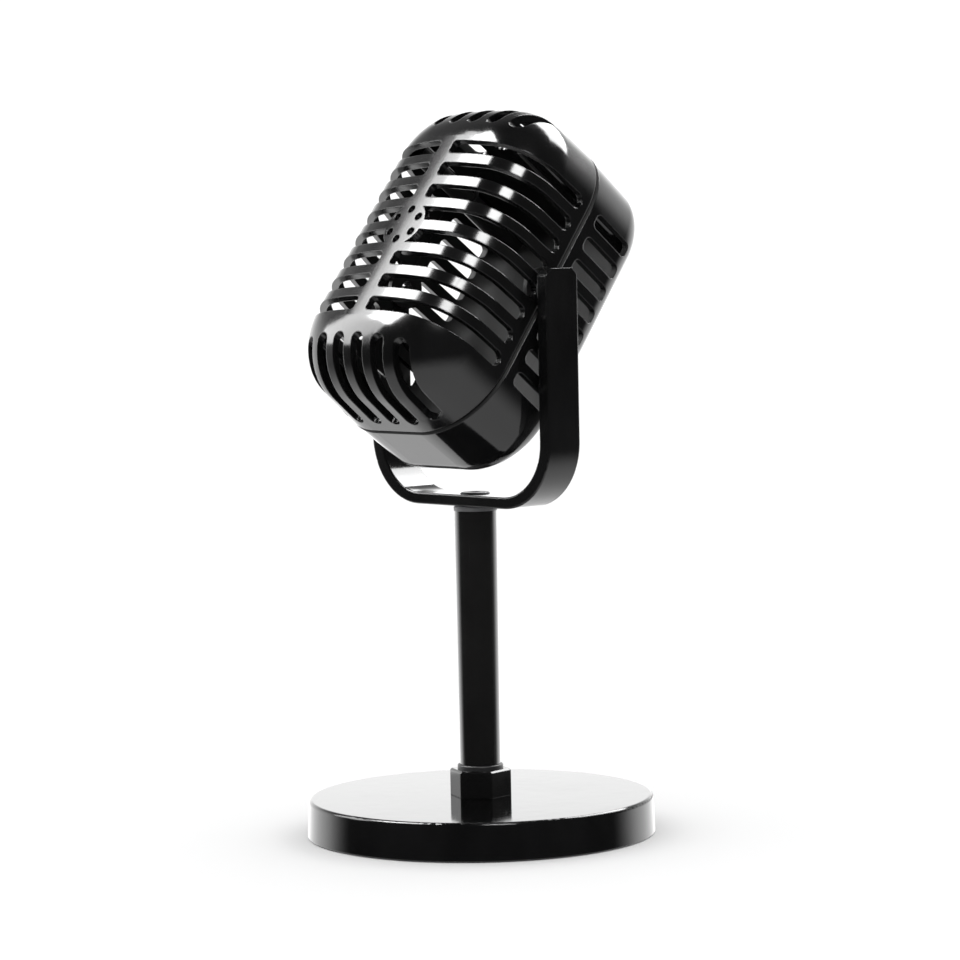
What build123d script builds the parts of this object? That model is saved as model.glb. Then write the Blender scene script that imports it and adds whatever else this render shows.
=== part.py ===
from build123d import *
import os
os.makedirs("parts", exist_ok=True)

# ---------------------------------------------------------------------------
# Toy desk microphone, millimetres.
# +Z up, origin at the centre of the underside of the round base.
# The front of the head looks towards -Y, the tilt axis of the head runs along X.
# Rest pose: head tilted back, fork square to the X axis.
# ---------------------------------------------------------------------------

# --- base
BASE_R = 47.5            # radius of the base at the table
BASE_H = 10.43           # height of the base's top face
BASE_RIM_Z = 0.30        # lower edge of the cover, the pad carries the weight
BASE_TOP_R = 47.05       # radius at the top of the drafted side
BASE_EDGE = 0.90         # rounding between side and top face
BASE_WALL = 2.20
PAD_T = 1.00
PLATE_T = 1.80
PAD_R = 43.6
PLATE_R = 45.1
BALLAST_R = 36.0
BALLAST_BORE = 10.5
SCREW_RING = 40.6        # ring of the four plate screws
BOSS_Z = 7.20            # underside of the middle boss in the cover

# --- pole
POLE_R = 5.83            # radius at the top, the tube tapers slightly
POLE_FOOT_R = 5.53       # radius at the foot
POLE_BORE = 4.60
POLE_TOP = 88.60
COLLAR_R = 8.52          # across-corners radius of the hexagonal collar
COLLAR_TOP = 17.80
COLLAR_TURN = 47.3 + 20 + 30   # turn of the hexagon about the pole
FOOT_RING_R = 6.25
FOOT_RING_T = 1.25
SWIVEL_WASHER_T = 1.30

# --- fork
FORK_HALF_W = 35.50      # outer half width
FORK_HALF_D = 5.68       # half depth along Y
FORK_T = 3.90            # thickness of the arms
FORK_BAR_T = 3.15        # thickness of the cross bar
FORK_Z0 = 90.0           # underside of the cross bar
FORK_TOP = 154.30        # end of the arms
FORK_BEND = 18.2         # outer bend radius
FORK_BEND_IN = 15.0      # inner bend radius
FORK_CUT = 1.9           # chamfer at the ends of the arms
FORK_EDGE = 0.40

# --- tilt axis
PIVOT_Z = 148.80
TILT = 36.9              # degrees, top of the head leans back
PIN_R = 2.00
BUSH_BORE = 2.06
BUSH_R = 4.00
BUSH_FLANGE_R = 5.6

# --- head, in its own upright frame with the pivot at the origin
HEAD_HALF_W = 30.00
HEAD_HALF_H = 46.80
HEAD_CORNER = 21.0       # corner radius in the front view
FACE_Y = -29.85          # front of the grille
BACK_Y = 24.45           # flat back
SEAM_Y = 0.30            # joint between the two shells
SEAM_GAP = 0.24
SEAM_CHAMFER = 0.55
FRONT_EDGE = 16.8        # rounding of the front perimeter
BACK_EDGE = 8.4          # rounding of the back perimeter
BOW_R = 85.0             # radius of the bowed front face
DRAFT = 2.4
BACK_DRAFT = 1.8
WALL = 2.00

SLOT_PITCH = 7.31
SLOT_H = 4.30
SPINE_W = 4.60
HUB_R = 7.00
HOLE_RING = 4.81
HOLE_R = 1.20
SLOT_TIP_Y = -2.80       # rounded ends of the long slots
BACK_SLOT_Y0 = 4.00
BACK_SLOT_Y1 = 19.10
CAP_SLOT_Z = 34.30       # where the upright slots of chin and crown begin
CAP_SLOT_TIP_Y = -3.60

POST_X = 21.5            # screw posts that join the two shells
POST_Z = 31.0
POST_R = 3.10

head_place = Location((0, 0, PIVOT_Z), (-TILT, 0, 0))
rows = [(i - 3.5) * SLOT_PITCH for i in range(8)]
caps = [(i - 2.5) * SLOT_PITCH for i in range(6)]

# ===========================================================================
# stand
# ===========================================================================
with BuildPart() as base_cover:
    with BuildSketch(Plane.XZ):
        with BuildLine():
            Polyline((2.75, BASE_H), (BASE_TOP_R, BASE_H), (BASE_R, BASE_RIM_Z),
                     (BASE_R - BASE_WALL, BASE_RIM_Z), (BASE_TOP_R - BASE_WALL, BASE_H - BASE_WALL),
                     (9.6, BASE_H - BASE_WALL), (9.6, BOSS_Z), (2.75, BOSS_Z), (2.75, BASE_H))
        make_face()
    revolve(axis=Axis.Z)
    fillet(base_cover.edges().group_by(Axis.Z)[-1].sort_by(SortBy.RADIUS)[-1], BASE_EDGE)
    with BuildSketch(Plane.XY.offset(PAD_T + PLATE_T)):
        with PolarLocations(SCREW_RING, 4, start_angle=45):
            Circle(2.9)
    extrude(amount=BASE_H - BASE_WALL - PAD_T - PLATE_T + 0.2)
    with BuildSketch(Plane.XY.offset(PAD_T + PLATE_T - 0.5)):
        with PolarLocations(SCREW_RING, 4, start_angle=45):
            Circle(1.1)
    extrude(amount=5.2, mode=Mode.SUBTRACT)
base_cover.part.label = "base_cover"

with BuildPart() as base_plate:
    with BuildSketch(Plane.XY.offset(PAD_T)):
        Circle(PLATE_R)
        with PolarLocations(SCREW_RING, 4, start_angle=45):
            Circle(1.35, mode=Mode.SUBTRACT)
    extrude(amount=PLATE_T)
    with BuildSketch(Plane.XY.offset(PAD_T)):
        with PolarLocations(SCREW_RING, 4, start_angle=45):
            Circle(2.25)
    extrude(amount=0.9, mode=Mode.SUBTRACT)
base_plate.part.label = "base_plate"

with BuildPart() as base_screws:
    with BuildSketch(Plane.XY.offset(PAD_T)):
        with PolarLocations(SCREW_RING, 4, start_angle=45):
            Circle(2.1)
    extrude(amount=0.9)
    with BuildSketch(Plane.XY.offset(PAD_T + 0.9)):
        with PolarLocations(SCREW_RING, 4, start_angle=45):
            Circle(1.1)
    extrude(amount=5.0)
    with BuildSketch(Plane.XY.offset(PAD_T)):
        with PolarLocations(SCREW_RING, 4, start_angle=45):
            Rectangle(2.6, 0.5)
            Rectangle(0.5, 2.6)
    extrude(amount=0.5, mode=Mode.SUBTRACT)
base_screws.part.label = "base_screws"

with BuildPart() as foot_pad:
    with BuildSketch(Plane.XY):
        Circle(PAD_R)
    extrude(amount=PAD_T)
    fillet(foot_pad.edges().group_by(Axis.Z)[0], 0.3)
foot_pad.part.label = "foot_pad"

with BuildPart() as ballast_disc:
    with BuildSketch(Plane.XY.offset(PAD_T + PLATE_T)):
        Circle(BALLAST_R)
        Circle(BALLAST_BORE, mode=Mode.SUBTRACT)
    extrude(amount=BASE_H - BASE_WALL - PAD_T - PLATE_T)
    chamfer(ballast_disc.edges().filter_by(GeomType.CIRCLE), 0.4)
ballast_disc.part.label = "ballast_disc"

with BuildPart() as base_washer:
    with BuildSketch(Plane.XY.offset(BOSS_Z - 0.8)):
        Circle(5.2)
        Circle(2.65, mode=Mode.SUBTRACT)
    extrude(amount=0.8)
base_washer.part.label = "base_washer"

with BuildPart() as base_bolt:
    with BuildSketch(Plane.XY.offset(BOSS_Z - 4.0)):
        RegularPolygon(4.62, 6)
    extrude(amount=3.2)
    with BuildSketch(Plane.XY.offset(BOSS_Z - 0.8)):
        Circle(2.5)
    extrude(amount=26.0)
    chamfer(base_bolt.edges().group_by(Axis.Z)[-1], 0.5)
base_bolt.part.label = "base_bolt"

with BuildPart() as pole_bottom_plug:
    with BuildSketch(Plane.XY.offset(BASE_H)):
        Circle(POLE_BORE)
        Circle(2.5, mode=Mode.SUBTRACT)
    extrude(amount=24.0)
pole_bottom_plug.part.label = "pole_bottom_plug"

with BuildPart() as pole:
    with BuildSketch(Plane.XZ):
        with BuildLine():
            Polyline((POLE_BORE, BASE_H), (POLE_FOOT_R, BASE_H), (POLE_R, POLE_TOP),
                     (POLE_BORE, POLE_TOP), (POLE_BORE, BASE_H))
        make_face()
    revolve(axis=Axis.Z)
pole.part.label = "pole"

with BuildPart() as hex_collar:
    with BuildSketch(Plane.XY.offset(BASE_H)):
        RegularPolygon(COLLAR_R, 6, rotation=COLLAR_TURN)
        Circle(POLE_FOOT_R + 0.04, mode=Mode.SUBTRACT)
    extrude(amount=COLLAR_TOP - BASE_H)
    fillet(hex_collar.edges().filter_by(Axis.Z).filter_by(lambda e: e.length > 5 and abs((e @ 0.5).X ** 2 + (e @ 0.5).Y ** 2) > 60), 0.55)
    chamfer(hex_collar.faces().sort_by(Axis.Z)[-1].outer_wire().edges(), 0.45)
hex_collar.part.label = "hex_collar"

with BuildPart() as pole_foot_ring:
    with BuildSketch(Plane.XY.offset(COLLAR_TOP)):
        Circle(FOOT_RING_R)
        Circle(POLE_FOOT_R + 0.04, mode=Mode.SUBTRACT)
    extrude(amount=FOOT_RING_T)
    fillet(pole_foot_ring.edges().group_by(Axis.Z)[-1].sort_by(SortBy.RADIUS)[-1], 0.35)
pole_foot_ring.part.label = "pole_foot_ring"

with BuildPart() as pole_top_plug:
    with BuildSketch(Plane.XY.offset(POLE_TOP - 22.0)):
        Circle(POLE_BORE)
        Circle(2.0, mode=Mode.SUBTRACT)
    extrude(amount=22.0)
pole_top_plug.part.label = "pole_top_plug"

with BuildPart() as swivel_washer:
    with BuildSketch(Plane.XY.offset(POLE_TOP)):
        Circle(POLE_R + 0.10)
        Circle(2.15, mode=Mode.SUBTRACT)
    extrude(amount=SWIVEL_WASHER_T)
    chamfer(swivel_washer.faces().sort_by(Axis.Z)[-1].outer_wire().edges(), 0.35)
swivel_washer.part.label = "swivel_washer"

with BuildPart() as swivel_bolt:
    with BuildSketch(Plane.XY.offset(FORK_Z0 + 2.0)):
        Circle(4.0)
    extrude(amount=1.6)
    fillet(swivel_bolt.edges().group_by(Axis.Z)[-1], 0.45)
    with BuildSketch(Plane.XY.offset(POLE_TOP - 15.0)):
        Circle(2.0)
    extrude(amount=FORK_Z0 + 2.0 - POLE_TOP + 15.0)
    with BuildSketch(Plane.XY.offset(FORK_Z0 + 2.8)):
        RegularPolygon(1.6, 6)
    extrude(amount=1.0, mode=Mode.SUBTRACT)
swivel_bolt.part.label = "swivel_bolt"

# ===========================================================================
# fork
# ===========================================================================
with BuildPart() as fork:
    with BuildSketch(Plane.XZ.offset(-FORK_HALF_D)):
        with Locations((0, (FORK_Z0 + FORK_TOP) / 2)):
            Rectangle(2 * FORK_HALF_W, FORK_TOP - FORK_Z0)
        fillet(vertices().group_by(Axis.Y)[0], FORK_BEND)
    extrude(amount=2 * FORK_HALF_D)
    with BuildSketch(Plane.XZ.offset(-FORK_HALF_D)):
        with Locations((0, (FORK_Z0 + FORK_BAR_T + FORK_TOP + 20) / 2)):
            Rectangle(2 * (FORK_HALF_W - FORK_T), FORK_TOP + 20 - FORK_Z0 - FORK_BAR_T)
        fillet(vertices().group_by(Axis.Y)[0], FORK_BEND_IN)
    extrude(amount=2 * FORK_HALF_D, mode=Mode.SUBTRACT)
    chamfer(fork.edges().filter_by(Axis.X).group_by(Axis.Z)[-1], FORK_CUT)
    fillet(fork.faces().sort_by(Axis.Y)[0].edges() + fork.faces().sort_by(Axis.Y)[-1].edges(), FORK_EDGE)
    with BuildSketch(Plane.XY.offset(FORK_Z0)):
        Circle(2.08)
    extrude(amount=5, mode=Mode.SUBTRACT)
    with BuildSketch(Plane.XY.offset(FORK_Z0 + 1.92)):
        Circle(4.15)
    extrude(amount=5, mode=Mode.SUBTRACT)
    for side in (-1, 1):
        with BuildSketch(Plane.YZ.offset(side * (FORK_HALF_W - FORK_T - 0.2))):
            with Locations((0, PIVOT_Z)):
                Circle(PIN_R)
        extrude(amount=side * 2.4, mode=Mode.SUBTRACT)
fork.part.label = "fork"


# ===========================================================================
# head, drawn upright with the pivot at the origin, placed at the end
# ===========================================================================
def pillow(inset, y_seam, y_face, edge, bow):
    """rounded block of one shell; y_face < y_seam for the front shell"""
    reach = abs(y_face - y_seam)
    with BuildPart() as body:
        with BuildSketch(Plane.XZ.offset(-y_seam)):
            RectangleRounded(2 * (HEAD_HALF_W - inset), 2 * (HEAD_HALF_H - inset), HEAD_CORNER - inset)
        if y_face < y_seam:
            extrude(amount=reach, taper=DRAFT)
        else:
            extrude(amount=-reach, taper=BACK_DRAFT)
        if bow:
            with BuildSketch(Plane.XY.offset(-60)):
                with Locations((0, y_face + bow)):
                    Circle(bow)
            extrude(amount=120, mode=Mode.INTERSECT)
        if y_face < y_seam:
            fillet(body.edges().filter_by_position(Axis.Y, y_face - 1, y_face + 9.5), edge)
        else:
            fillet(body.edges().filter_by_position(Axis.Y, y_face - 0.2, y_face + 0.2), edge)
    return body.part


front_outer = pillow(0, SEAM_Y - SEAM_GAP / 2, FACE_Y, FRONT_EDGE, BOW_R)
front_inner = pillow(WALL, SEAM_Y - SEAM_GAP / 2, FACE_Y + WALL, FRONT_EDGE - WALL, BOW_R - WALL)
back_outer = pillow(0, SEAM_Y + SEAM_GAP / 2, BACK_Y, BACK_EDGE, 0)
back_inner = pillow(WALL, SEAM_Y + SEAM_GAP / 2, BACK_Y - WALL, BACK_EDGE - WALL, 0)

# long slots of the grille: front outline crossed with the side outline
with BuildPart() as long_slots:
    with BuildSketch(Plane.XZ.offset(60)):
        with Locations(*[(s * (SPINE_W / 2 + 20), z) for s in (-1, 1) for z in rows]):
            RectangleRounded(40, SLOT_H, 1.3)
        Circle(HUB_R, mode=Mode.SUBTRACT)
    extrude(amount=-70)
    with BuildSketch(Plane.YZ.offset(-50)):
        with Locations(*[(SLOT_TIP_Y - 20, z) for z in rows]):
            RectangleRounded(40, SLOT_H, SLOT_H / 2 - 0.02)
    extrude(amount=100, mode=Mode.INTERSECT)

# upright slots over the chin and the crown
with BuildPart() as cap_slots:
    with BuildSketch(Plane.XZ.offset(60)):
        with Locations(*[(x, s * (CAP_SLOT_Z + 20)) for s in (-1, 1) for x in caps]):
            RectangleRounded(SLOT_H, 40, SLOT_H / 2 - 0.02)
    extrude(amount=-70)
    with BuildSketch(Plane.XY.offset(-60)):
        with Locations(*[(x, CAP_SLOT_TIP_Y - 20) for x in caps]):
            RectangleRounded(SLOT_H, 40, SLOT_H / 2 - 0.02)
    extrude(amount=120, mode=Mode.INTERSECT)

with BuildPart() as back_slots:
    with BuildSketch(Plane.YZ.offset(-50)):
        with Locations(*[((BACK_SLOT_Y0 + BACK_SLOT_Y1) / 2, z) for z in rows]):
            RectangleRounded(BACK_SLOT_Y1 - BACK_SLOT_Y0, SLOT_H, 1.6)
    extrude(amount=100)

with BuildPart() as hub_holes:
    with BuildSketch(Plane.XZ.offset(40)):
        with PolarLocations(HOLE_RING, 6, start_angle=30):
            Circle(HOLE_R)
    extrude(amount=-20)

# seat of the pivot bushes: a round hole shared by both shells
with BuildPart() as bush_seats:
    with BuildSketch(Plane.YZ.offset(-40)):
        Circle(BUSH_R)
    extrude(amount=80)

with BuildPart() as front_upright:
    add(front_outer)
    chamfer(front_upright.faces().sort_by(Axis.Y)[-1].edges(), SEAM_CHAMFER)
    add(front_inner, mode=Mode.SUBTRACT)
    add(long_slots.part, mode=Mode.SUBTRACT)
    add(cap_slots.part, mode=Mode.SUBTRACT)
    add(hub_holes.part, mode=Mode.SUBTRACT)
    add(bush_seats.part, mode=Mode.SUBTRACT)
    # screw posts, from the grille wall back to the seam
    with BuildSketch(Plane.XZ.offset(-(SEAM_Y - SEAM_GAP / 2))):
        with Locations(*[(sx * POST_X, sz * POST_Z) for sx in (-1, 1) for sz in (-1, 1)]):
            Circle(POST_R)
            Circle(1.15, mode=Mode.SUBTRACT)
    extrude(amount=22.5)

with BuildPart() as back_upright:
    add(back_outer)
    chamfer(back_upright.faces().sort_by(Axis.Y)[0].edges(), SEAM_CHAMFER)
    add(back_inner, mode=Mode.SUBTRACT)
    add(back_slots.part, mode=Mode.SUBTRACT)
    add(bush_seats.part, mode=Mode.SUBTRACT)
    with BuildSketch(Plane.XZ.offset(-(SEAM_Y + SEAM_GAP / 2))):
        with Locations(*[(sx * POST_X, sz * POST_Z) for sx in (-1, 1) for sz in (-1, 1)]):
            Circle(POST_R + 0.6)
    extrude(amount=-(BACK_Y - SEAM_Y - WALL))
    with BuildSketch(Plane.XZ.offset(-(SEAM_Y - 1))):
        with Locations(*[(sx * POST_X, sz * POST_Z) for sx in (-1, 1) for sz in (-1, 1)]):
            Circle(1.5)
    extrude(amount=-40, mode=Mode.SUBTRACT)
    with BuildSketch(Plane.XZ.offset(-(SEAM_Y + 6))):
        with Locations(*[(sx * POST_X, sz * POST_Z) for sx in (-1, 1) for sz in (-1, 1)]):
            Circle(2.75)
    extrude(amount=-40, mode=Mode.SUBTRACT)

with BuildPart() as screws_upright:
    with BuildSketch(Plane.XZ.offset(-(SEAM_Y + 6))):
        with Locations(*[(sx * POST_X, sz * POST_Z) for sx in (-1, 1) for sz in (-1, 1)]):
            Circle(2.5)
    extrude(amount=-1.8)
    with BuildSketch(Plane.XZ.offset(-(SEAM_Y + 6))):
        with Locations(*[(sx * POST_X, sz * POST_Z) for sx in (-1, 1) for sz in (-1, 1)]):
            Circle(1.15)
    extrude(amount=13.5)
    with BuildSketch(Plane.XZ.offset(-(SEAM_Y + 6 + 1.0))):
        with Locations(*[(sx * POST_X, sz * POST_Z) for sx in (-1, 1) for sz in (-1, 1)]):
            Rectangle(3.0, 0.6)
            Rectangle(0.6, 3.0)
    extrude(amount=-2, mode=Mode.SUBTRACT)

with BuildPart() as front_grille:
    with Locations(head_place):
        add(front_upright.part)
front_grille.part.label = "front_grille"

with BuildPart() as rear_shell:
    with Locations(head_place):
        add(back_upright.part)
rear_shell.part.label = "rear_shell"

with BuildPart() as shell_screws:
    with Locations(head_place):
        add(screws_upright.part)
shell_screws.part.label = "shell_screws"

# ---------------------------------------------------------------------------
# pivots, one set on each side
# ---------------------------------------------------------------------------
BUSH_X0 = HEAD_HALF_W - WALL - 1.75     # inner end of the flange
BUSH_X1 = HEAD_HALF_W + 0.25
ARM_X = FORK_HALF_W - FORK_T

with BuildPart() as bush_upright:
    with BuildSketch(Plane.YZ.offset(BUSH_X0)):
        Circle(BUSH_FLANGE_R)
    extrude(amount=1.40)
    with BuildSketch(Plane.YZ.offset(BUSH_X0)):
        Circle(BUSH_R)
    extrude(amount=BUSH_X1 - BUSH_X0)
    with BuildSketch(Plane.YZ.offset(BUSH_X0 - 1)):
        Circle(BUSH_BORE)
    extrude(amount=10, mode=Mode.SUBTRACT)

with BuildPart() as pivot_bush_right:
    with Locations(head_place):
        add(bush_upright.part)
pivot_bush_right.part.label = "pivot_bush_right"

with BuildPart() as pivot_bush_left:
    add(pivot_bush_right.part, mode=Mode.PRIVATE)
    mirror(pivot_bush_right.part, about=Plane.YZ)
pivot_bush_left.part.label = "pivot_bush_left"

with BuildPart() as pivot_pin_right:
    with BuildSketch(Plane.YZ.offset(BUSH_X0 - 0.6)):
        with Locations((0, PIVOT_Z)):
            Circle(PIN_R)
    extrude(amount=ARM_X + 2.2 - BUSH_X0 + 0.6)
    chamfer(pivot_pin_right.edges().group_by(Axis.X)[0], 0.4)
pivot_pin_right.part.label = "pivot_pin_right"

with BuildPart() as pivot_pin_left:
    mirror(pivot_pin_right.part, about=Plane.YZ)
pivot_pin_left.part.label = "pivot_pin_left"

with BuildPart() as pivot_washer_right:
    with BuildSketch(Plane.YZ.offset(ARM_X - 0.95)):
        with Locations((0, PIVOT_Z)):
            Circle(4.9)
            Circle(PIN_R, mode=Mode.SUBTRACT)
    extrude(amount=0.95)
pivot_washer_right.part.label = "pivot_washer_right"

with BuildPart() as pivot_washer_left:
    mirror(pivot_washer_right.part, about=Plane.YZ)
pivot_washer_left.part.label = "pivot_washer_left"

# ===========================================================================
export_step(base_cover.part, "parts/base_cover.step")
export_step(base_plate.part, "parts/base_plate.step")
export_step(base_screws.part, "parts/base_screws.step")
export_step(foot_pad.part, "parts/foot_pad.step")
export_step(ballast_disc.part, "parts/ballast_disc.step")
export_step(base_washer.part, "parts/base_washer.step")
export_step(base_bolt.part, "parts/base_bolt.step")
export_step(pole_bottom_plug.part, "parts/pole_bottom_plug.step")
export_step(pole.part, "parts/pole.step")
export_step(hex_collar.part, "parts/hex_collar.step")
export_step(pole_foot_ring.part, "parts/pole_foot_ring.step")
export_step(pole_top_plug.part, "parts/pole_top_plug.step")
export_step(swivel_washer.part, "parts/swivel_washer.step")
export_step(swivel_bolt.part, "parts/swivel_bolt.step")
export_step(fork.part, "parts/fork.step")
export_step(pivot_pin_left.part, "parts/pivot_pin_left.step")
export_step(pivot_pin_right.part, "parts/pivot_pin_right.step")
export_step(pivot_washer_left.part, "parts/pivot_washer_left.step")
export_step(pivot_washer_right.part, "parts/pivot_washer_right.step")
export_step(front_grille.part, "parts/front_grille.step")
export_step(rear_shell.part, "parts/rear_shell.step")
export_step(shell_screws.part, "parts/shell_screws.step")
export_step(pivot_bush_left.part, "parts/pivot_bush_left.step")
export_step(pivot_bush_right.part, "parts/pivot_bush_right.step")
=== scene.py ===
import math
import bpy
from mathutils import Matrix, Vector

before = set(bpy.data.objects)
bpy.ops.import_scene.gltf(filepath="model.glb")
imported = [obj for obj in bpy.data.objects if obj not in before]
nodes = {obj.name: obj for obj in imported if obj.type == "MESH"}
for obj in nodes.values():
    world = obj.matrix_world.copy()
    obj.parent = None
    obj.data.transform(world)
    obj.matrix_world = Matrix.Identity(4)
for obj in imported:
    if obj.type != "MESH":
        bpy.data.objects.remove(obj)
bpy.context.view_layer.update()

scene = bpy.context.scene

# ---------------------------------------------------------------- camera
scene = bpy.context.scene
A, YAW, PITCH, ROLL = (math.radians(v) for v in (47.37, -0.083, 4.09, -1.11))
DIST, CAM_Z, FOCAL_PX = 0.96836, 0.16602, 3567.8
place = Vector((DIST * math.sin(A), -DIST * math.cos(A), CAM_Z))
az = A + YAW
fwd = Vector((-math.sin(az) * math.cos(PITCH), math.cos(az) * math.cos(PITCH), -math.sin(PITCH)))
right = Vector((math.cos(az), math.sin(az), 0))
up = right.cross(fwd)
r2 = math.cos(ROLL) * right + math.sin(ROLL) * up
u2 = -math.sin(ROLL) * right + math.cos(ROLL) * up
cam = bpy.data.cameras.new("camera")
cam_ob = bpy.data.objects.new("camera", cam)
scene.collection.objects.link(cam_ob)
m = Matrix.Identity(4)
m.col[0][:3] = r2
m.col[1][:3] = u2
m.col[2][:3] = -fwd
m.col[3][:3] = place
cam_ob.matrix_world = m
cam.sensor_fit = "HORIZONTAL"
cam.sensor_width = 36.0
cam.lens = FOCAL_PX * 36.0 / 960.0
cam.clip_start = 0.01
cam.clip_end = 20
scene.camera = cam_ob

# ---------------------------------------------------------------- floor
bpy.ops.mesh.primitive_plane_add(size=8, location=(0, 0, 0))
floor = bpy.context.object
floor.name = "floor"
fm = bpy.data.materials.new("floor")
fm.use_nodes = True
b = fm.node_tree.nodes["Principled BSDF"]
b.inputs["Base Color"].default_value = (0.93, 0.93, 0.93, 1)
b.inputs["Roughness"].default_value = 0.9
b.inputs["Specular IOR Level"].default_value = 0.1
floor.data.materials.append(fm)
floor.visible_glossy = False

# ---------------------------------------------------------------- studio
scene.view_settings.view_transform = "Standard"
scene.view_settings.look = "None"

world = bpy.data.worlds.new("studio")
scene.world = world
world.use_nodes = True
nt = world.node_tree
nt.nodes.clear()


def wn(kind, **kw):
    n = nt.nodes.new(kind)
    for k, v in kw.items():
        setattr(n, k, v)
    return n


BACK_DIR = (-0.736, 0.677, 0.0)
tc = wn("ShaderNodeTexCoord")
dot = wn("ShaderNodeVectorMath", operation="DOT_PRODUCT")
nt.links.new(tc.outputs["Generated"], dot.inputs[0])
dot.inputs[1].default_value = BACK_DIR
side = wn("ShaderNodeMapRange", interpolation_type="SMOOTHSTEP")
side.inputs["From Min"].default_value = 0.10
side.inputs["From Max"].default_value = 0.62
nt.links.new(dot.outputs["Value"], side.inputs["Value"])
sep = wn("ShaderNodeSeparateXYZ")
nt.links.new(tc.outputs["Generated"], sep.inputs[0])
high = wn("ShaderNodeMapRange", interpolation_type="SMOOTHSTEP")
high.inputs["From Min"].default_value = 0.10
high.inputs["From Max"].default_value = 0.60
high.inputs["To Min"].default_value = 1.0
high.inputs["To Max"].default_value = 0.10
nt.links.new(sep.outputs["Z"], high.inputs["Value"])
mul = wn("ShaderNodeMath", operation="MULTIPLY")
nt.links.new(side.outputs[0], mul.inputs[0])
nt.links.new(high.outputs[0], mul.inputs[1])
low = wn("ShaderNodeMapRange", interpolation_type="SMOOTHSTEP")
low.inputs["From Min"].default_value = -0.12
low.inputs["From Max"].default_value = -0.50
low.inputs["To Min"].default_value = 1.0
low.inputs["To Max"].default_value = 0.25
nt.links.new(sep.outputs["Z"], low.inputs["Value"])
mul2 = wn("ShaderNodeMath", operation="MULTIPLY")
nt.links.new(mul.outputs[0], mul2.inputs[0])
nt.links.new(low.outputs[0], mul2.inputs[1])
below = wn("ShaderNodeMapRange", interpolation_type="SMOOTHSTEP")
below.inputs["From Min"].default_value = -0.22
below.inputs["From Max"].default_value = -0.62
below.inputs["To Min"].default_value = 0.05
below.inputs["To Max"].default_value = 1.15
nt.links.new(sep.outputs["Z"], below.inputs["Value"])
room = wn("ShaderNodeMath", operation="MULTIPLY_ADD")
nt.links.new(mul2.outputs[0], room.inputs[0])
room.inputs[1].default_value = 2.1
nt.links.new(below.outputs[0], room.inputs[2])
lp = wn("ShaderNodeLightPath")
seen = wn("ShaderNodeMath", operation="MAXIMUM")
nt.links.new(lp.outputs["Is Camera Ray"], seen.inputs[0])
nt.links.new(lp.outputs["Is Diffuse Ray"], seen.inputs[1])
mixv = wn("ShaderNodeMix", data_type="FLOAT")
nt.links.new(seen.outputs[0], mixv.inputs[0])
nt.links.new(room.outputs[0], mixv.inputs[2])
mixv.inputs[3].default_value = 1.12
bg = wn("ShaderNodeBackground")
bg.inputs[0].default_value = (1, 1, 1, 1)
nt.links.new(mixv.outputs[0], bg.inputs[1])
wo = wn("ShaderNodeOutputWorld")
nt.links.new(bg.outputs[0], wo.inputs[0])


def softbox(name, azim, elev, dist, w, h, radiance, target=(0, 0, 0.13), roll=0.0):
    """rectangular softbox given by its direction from the target and its radiance"""
    d = Vector((math.cos(math.radians(azim)) * math.cos(math.radians(elev)),
                math.sin(math.radians(azim)) * math.cos(math.radians(elev)),
                math.sin(math.radians(elev))))
    li = bpy.data.lights.new(name, "AREA")
    li.shape = "RECTANGLE"
    li.size, li.size_y = w, h
    li.energy = radiance * math.pi * w * h
    ob = bpy.data.objects.new(name, li)
    scene.collection.objects.link(ob)
    q = d.to_track_quat("Z", "Y")
    ob.matrix_world = Matrix.Translation(Vector(target) + d * dist) @ q.to_matrix().to_4x4() @ Matrix.Rotation(math.radians(roll), 4, "Z")
    ob.visible_camera = False
    ob.visible_diffuse = False
    return ob


softbox("key_left", 214, 31, 1.10, 0.54, 0.92, 8.5)
softbox("key_high", 223, 52, 1.08, 0.42, 0.42, 27.0)
softbox("strip_right", 332, 46, 1.10, 0.36, 0.24, 26.0, roll=-35)
softbox("top_back", 99, 41, 1.10, 0.84, 0.52, 13.0)


# ---------------------------------------------------------------- materials
def mat_base(name):
    m = bpy.data.materials.new(name)
    m.use_nodes = True
    t = m.node_tree
    t.nodes.clear()
    out = t.nodes.new("ShaderNodeOutputMaterial")
    p = t.nodes.new("ShaderNodeBsdfPrincipled")
    t.links.new(p.outputs[0], out.inputs[0])
    co = t.nodes.new("ShaderNodeTexCoord")
    return m, t, p, co.outputs["Object"]


def noise(t, vec, scale, detail=2.0, rough=0.5, stretch=None):
    if stretch:
        mp = t.nodes.new("ShaderNodeMapping")
        mp.inputs["Scale"].default_value = stretch
        t.links.new(vec, mp.inputs[0])
        vec = mp.outputs[0]
    n = t.nodes.new("ShaderNodeTexNoise")
    n.inputs["Scale"].default_value = scale
    n.inputs["Detail"].default_value = detail
    n.inputs["Roughness"].default_value = rough
    t.links.new(vec, n.inputs["Vector"])
    return n.outputs["Fac"]


def remap(t, val, a, b, c, d):
    n = t.nodes.new("ShaderNodeMapRange")
    n.inputs["From Min"].default_value = a
    n.inputs["From Max"].default_value = b
    n.inputs["To Min"].default_value = c
    n.inputs["To Max"].default_value = d
    t.links.new(val, n.inputs["Value"])
    return n.outputs[0]


def math2(t, op, a, b):
    n = t.nodes.new("ShaderNodeMath")
    n.operation = op
    for i, v in enumerate((a, b)):
        if hasattr(v, "default_value") or hasattr(v, "links"):
            t.links.new(v, n.inputs[i])
        else:
            n.inputs[i].default_value = v
    return n.outputs[0]


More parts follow.
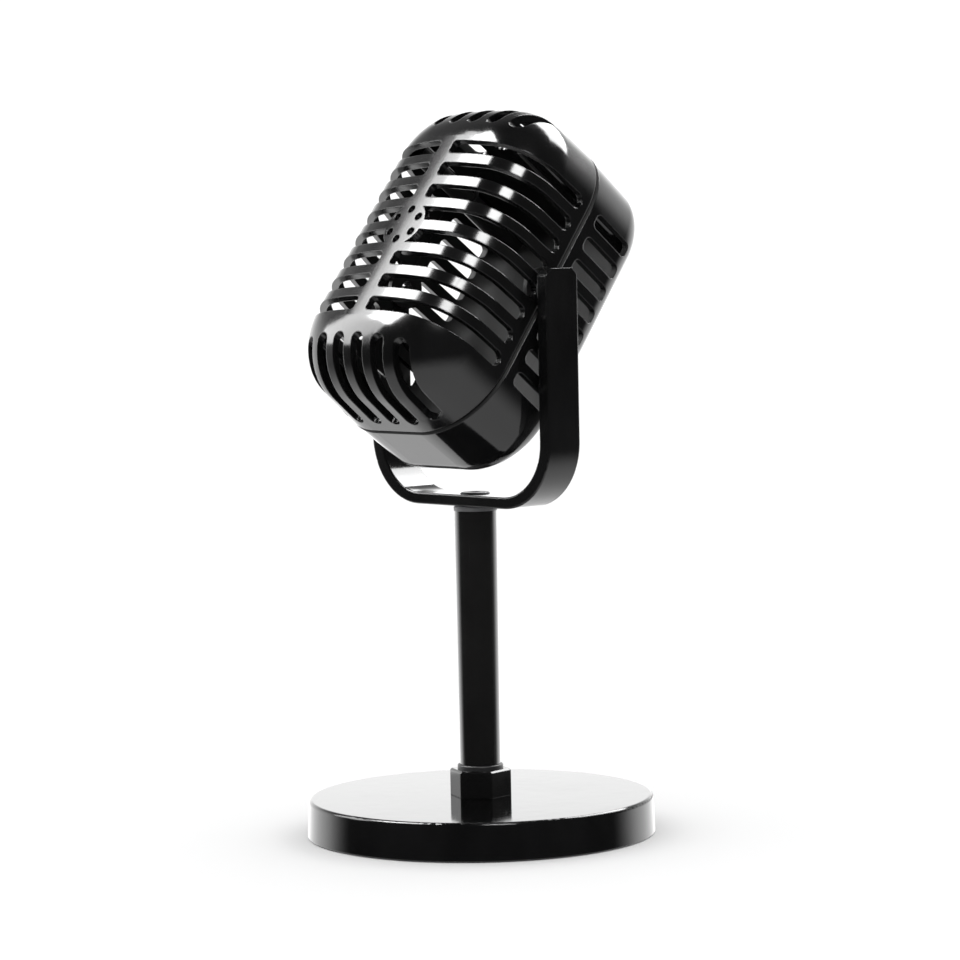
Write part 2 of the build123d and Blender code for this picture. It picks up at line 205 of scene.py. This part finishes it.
def mixcol(t, fac, a, b):
    n = t.nodes.new("ShaderNodeMix")
    n.data_type = "RGBA"
    t.links.new(fac, n.inputs[0])
    n.inputs[6].default_value = (*a, 1)
    n.inputs[7].default_value = (*b, 1)
    return n.outputs[2]


def bump(t, p, height, strength, distance, edge=0.0):
    n = t.nodes.new("ShaderNodeBump")
    if edge:
        soft = t.nodes.new("ShaderNodeBevel")
        soft.samples = 4
        soft.inputs["Radius"].default_value = edge
        t.links.new(soft.outputs[0], n.inputs["Normal"])
    n.inputs["Strength"].default_value = strength
    n.inputs["Distance"].default_value = distance
    t.links.new(height, n.inputs["Height"])
    t.links.new(n.outputs[0], p.inputs["Normal"])


def gloss_plastic(name, dark, light, r0, r1, spec=0.5, peel=0.000012, dust=0.5, coat=0.0, hollow=False):
    """moulded gloss plastic: flow marks in the colour, handling haze in the gloss, fine wiping marks, dust and a faint orange peel"""
    m, t, p, co = mat_base(name)
    flow = noise(t, co, 55, 3.0, 0.55, (1, 1, 0.45))
    t.links.new(mixcol(t, remap(t, flow, 0.35, 0.68, 0, 1), dark, light), p.inputs["Base Color"])
    haze = remap(t, noise(t, co, 38, 4.0, 0.6), 0.42, 0.72, 0, 1)
    wipes = remap(t, noise(t, co, 900, 2.0, 0.6, (1.0, 0.06, 0.25)), 0.60, 0.74, 0, 1)
    specks = t.nodes.new("ShaderNodeTexVoronoi")
    specks.inputs["Scale"].default_value = 420
    t.links.new(co, specks.inputs["Vector"])
    speck = remap(t, specks.outputs["Distance"], 0.055, 0.02, 0, dust)
    r = math2(t, "MULTIPLY_ADD", haze, r1 - r0)
    r.node.inputs[2].default_value = r0
    r = math2(t, "ADD", r, math2(t, "MULTIPLY", wipes, 0.05))
    r = math2(t, "ADD", r, math2(t, "MULTIPLY", speck, 0.35))
    if hollow:
        r = inner_skin(t, p, r)
    t.links.new(r, p.inputs["Roughness"])
    p.inputs["Specular IOR Level"].default_value = spec
    p.inputs["IOR"].default_value = 1.5
    p.inputs["Coat Weight"].default_value = coat
    h = math2(t, "ADD", noise(t, co, 260, 2.0, 0.5), math2(t, "MULTIPLY", wipes, 0.12))
    h = math2(t, "ADD", h, math2(t, "MULTIPLY", speck, 0.4))
    bump(t, p, h, 1.0, peel, edge=0.00045)
    return m


PIVOT = (0, 0, 0.1488)
TILT = math.radians(36.9)


def inner_skin(t, p, r):
    """the inside of the hollow head is spark eroded and dull: true where the surface faces the middle of the head"""
    co = t.nodes.new("ShaderNodeTexCoord")
    vecs = []
    for src, off in (("Object", PIVOT), ("Normal", (0, 0, 0))):
        v = t.nodes.new("ShaderNodeVectorMath")
        v.operation = "SUBTRACT"
        t.links.new(co.outputs[src], v.inputs[0])
        v.inputs[1].default_value = off
        q = t.nodes.new("ShaderNodeVectorRotate")
        q.rotation_type = "X_AXIS"
        q.inputs["Angle"].default_value = TILT
        t.links.new(v.outputs[0], q.inputs["Vector"])
        vecs.append(q.outputs[0])
    half = t.nodes.new("ShaderNodeVectorMath")
    half.operation = "DIVIDE"
    sh = t.nodes.new("ShaderNodeVectorMath")
    sh.operation = "SUBTRACT"
    sh.inputs[1].default_value = (0, -0.0027, 0)
    t.links.new(vecs[0], sh.inputs[0])
    t.links.new(sh.outputs[0], half.inputs[0])
    half.inputs[1].default_value = (0.030, 0.0272, 0.0468)
    sq = t.nodes.new("ShaderNodeVectorMath")
    sq.operation = "MULTIPLY"
    t.links.new(half.outputs[0], sq.inputs[0])
    t.links.new(half.outputs[0], sq.inputs[1])
    cu = t.nodes.new("ShaderNodeVectorMath")
    cu.operation = "MULTIPLY"
    t.links.new(sq.outputs[0], cu.inputs[0])
    t.links.new(half.outputs[0], cu.inputs[1])
    no = t.nodes.new("ShaderNodeVectorMath")
    no.operation = "NORMALIZE"
    t.links.new(cu.outputs[0], no.inputs[0])
    d = t.nodes.new("ShaderNodeVectorMath")
    d.operation = "DOT_PRODUCT"
    t.links.new(no.outputs[0], d.inputs[0])
    t.links.new(vecs[1], d.inputs[1])
    mask = remap(t, d.outputs["Value"], -0.42, -0.22, 1, 0)
    yy = t.nodes.new("ShaderNodeSeparateXYZ")
    t.links.new(vecs[0], yy.inputs[0])
    off = math2(t, "ABSOLUTE", math2(t, "SUBTRACT", yy.outputs["Y"], 0.0003), 0.0)
    mask = math2(t, "MAXIMUM", mask, remap(t, off, 0.00070, 0.00060, 0, 1))
    return math2(t, "ADD", r, math2(t, "MULTIPLY", mask, 0.62))


def painted_tube(name):
    """black lacquered steel tube: drawn grain along the tube under the lacquer, soft haze from hands"""
    m, t, p, co = mat_base(name)
    grain = noise(t, co, 1500, 2.0, 0.6, (1, 1, 0.015))
    cloud = noise(t, co, 45, 3.0, 0.6)
    t.links.new(mixcol(t, cloud, (0.0030, 0.0030, 0.0032), (0.0085, 0.0083, 0.0080)), p.inputs["Base Color"])
    r = math2(t, "ADD", remap(t, cloud, 0.35, 0.7, 0.13, 0.24), remap(t, grain, 0.4, 0.8, 0.0, 0.07))
    t.links.new(r, p.inputs["Roughness"])
    p.inputs["Specular IOR Level"].default_value = 0.5
    p.inputs["Coat Weight"].default_value = 0.35
    p.inputs["Coat Roughness"].default_value = 0.06
    bump(t, p, grain, 1.0, 0.000008)
    return m


def satin_grey(name, a, b):
    """dull grey nylon with a turned surface"""
    m, t, p, co = mat_base(name)
    mott = noise(t, co, 300, 4.0, 0.6)
    t.links.new(mixcol(t, mott, a, b), p.inputs["Base Color"])
    t.links.new(remap(t, noise(t, co, 700, 3.0, 0.6), 0.3, 0.7, 0.32, 0.55), p.inputs["Roughness"])
    bump(t, p, noise(t, co, 1800, 2.0, 0.6, (1, 1, 6)), 1.0, 0.00002)
    return m


def steel(name, tint, r0, r1, stretch):
    """zinc plated steel with machining grain and dull patches"""
    m, t, p, co = mat_base(name)
    patch = noise(t, co, 220, 4.0, 0.6)
    t.links.new(mixcol(t, patch, tuple(c * 0.72 for c in tint), tint), p.inputs["Base Color"])
    p.inputs["Metallic"].default_value = 1.0
    grain = noise(t, co, 2600, 3.0, 0.6, stretch)
    t.links.new(remap(t, math2(t, "ADD", math2(t, "MULTIPLY", grain, 0.6), math2(t, "MULTIPLY", patch, 0.4)), 0.3, 0.7, r0, r1), p.inputs["Roughness"])
    bump(t, p, grain, 1.0, 0.000012)
    return m


def foam(name):
    """closed cell EVA foam"""
    m, t, p, co = mat_base(name)
    v = t.nodes.new("ShaderNodeTexVoronoi")
    v.inputs["Scale"].default_value = 1700
    t.links.new(co, v.inputs["Vector"])
    t.links.new(mixcol(t, noise(t, co, 120, 3.0, 0.6), (0.010, 0.010, 0.011), (0.022, 0.022, 0.023)), p.inputs["Base Color"])
    t.links.new(remap(t, v.outputs["Distance"], 0.0, 0.7, 0.95, 0.75), p.inputs["Roughness"])
    p.inputs["Specular IOR Level"].default_value = 0.25
    bump(t, p, v.outputs["Distance"], 0.8, 0.00012)
    return m


def matt_plastic(name, a, b, scale=1400, depth=0.00004):
    """spark eroded matt plastic"""
    m, t, p, co = mat_base(name)
    t.links.new(mixcol(t, noise(t, co, 60, 3.0, 0.6), a, b), p.inputs["Base Color"])
    g = noise(t, co, scale, 3.0, 0.7)
    t.links.new(remap(t, g, 0.3, 0.7, 0.42, 0.62), p.inputs["Roughness"])
    bump(t, p, g, 1.0, depth)
    return m


grille_black = gloss_plastic("grille_black", (0.0028, 0.0028, 0.0030), (0.0062, 0.0062, 0.0064), 0.12, 0.20, hollow=True)
shell_black = gloss_plastic("shell_black", (0.0028, 0.0028, 0.0030), (0.0058, 0.0058, 0.0060), 0.07, 0.15, hollow=True)
fork_black = gloss_plastic("fork_black", (0.0026, 0.0026, 0.0028), (0.0060, 0.0060, 0.0062), 0.10, 0.19)
base_black = gloss_plastic("base_black", (0.0024, 0.0024, 0.0026), (0.0055, 0.0055, 0.0057), 0.05, 0.11, spec=0.40, dust=0.8)
collar_black = gloss_plastic("collar_black", (0.0030, 0.0030, 0.0032), (0.0065, 0.0065, 0.0067), 0.12, 0.22)
pole_black = painted_tube("pole_black")
washer_grey = satin_grey("washer_grey", (0.055, 0.056, 0.058), (0.11, 0.11, 0.115))
ring_black = satin_grey("ring_black", (0.010, 0.010, 0.011), (0.022, 0.022, 0.023))
screw_steel = steel("screw_steel", (0.52, 0.52, 0.50), 0.22, 0.42, (1, 1, 1))
pin_steel = steel("pin_steel", (0.46, 0.46, 0.47), 0.18, 0.34, (0.05, 1, 1))
black_oxide = steel("black_oxide", (0.035, 0.035, 0.037), 0.30, 0.50, (1, 1, 1))
ballast_steel = steel("ballast_steel", (0.30, 0.29, 0.28), 0.35, 0.60, (1, 0.1, 1))
pad_foam = foam("pad_foam")
plate_black = matt_plastic("plate_black", (0.010, 0.010, 0.010), (0.018, 0.018, 0.018))
insert_black = matt_plastic("insert_black", (0.006, 0.006, 0.006), (0.012, 0.012, 0.012), 900, 0.00003)

finish = {
    "front_grille": grille_black, "rear_shell": shell_black, "fork": fork_black, "base_cover": base_black,
    "hex_collar": collar_black, "pole": pole_black, "pole_foot_ring": ring_black, "swivel_washer": washer_grey,
    "swivel_bolt": black_oxide, "base_bolt": screw_steel, "base_screws": screw_steel, "shell_screws": screw_steel,
    "base_washer": screw_steel, "ballast_disc": ballast_steel, "foot_pad": pad_foam, "base_plate": plate_black,
    "pole_bottom_plug": insert_black, "pole_top_plug": insert_black,
    "pivot_bush_left": insert_black, "pivot_bush_right": insert_black,
    "pivot_washer_left": insert_black, "pivot_washer_right": insert_black,
    "pivot_pin_left": pin_steel, "pivot_pin_right": pin_steel,
}
for name, ob in nodes.items():
    mat = finish[name]
    if not ob.material_slots:
        ob.data.materials.append(mat)
    for s in ob.material_slots:
        s.material = mat
